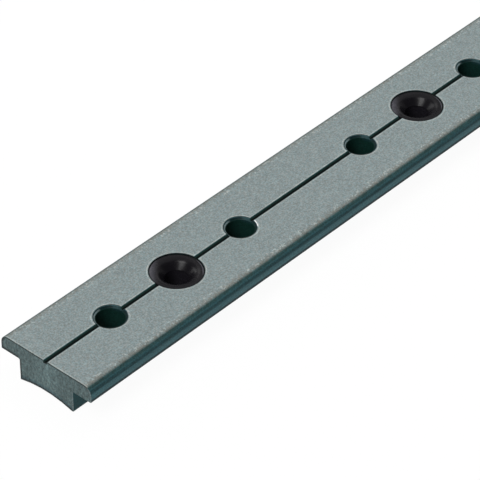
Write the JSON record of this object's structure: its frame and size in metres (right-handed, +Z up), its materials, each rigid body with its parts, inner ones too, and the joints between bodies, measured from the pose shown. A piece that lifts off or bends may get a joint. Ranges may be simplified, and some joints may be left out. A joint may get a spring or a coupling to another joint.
{
  "type": "sail track section",
  "caption": "Straight T-section aluminium track with a hollow underside, a scribed centre line, stop holes and bushed screw holes, for a sliding sail or sheet car.",
  "frame": {"origin": "mid-length on the centre line, at the level of the two feet that the track stands on", "axes": "+X along the track, away from the end that the picture shows; +Y across it; +Z up, out of the holes"},
  "size_m": [0.5976, 0.032, 0.0115],
  "materials": {
    "track": "matte grey-green hard anodising",
    "bush": "smooth glossy black"
  },
  "bodies": {
    "root": {"track": "track", "bushes": "bush"}
  },
  "joints": []
}
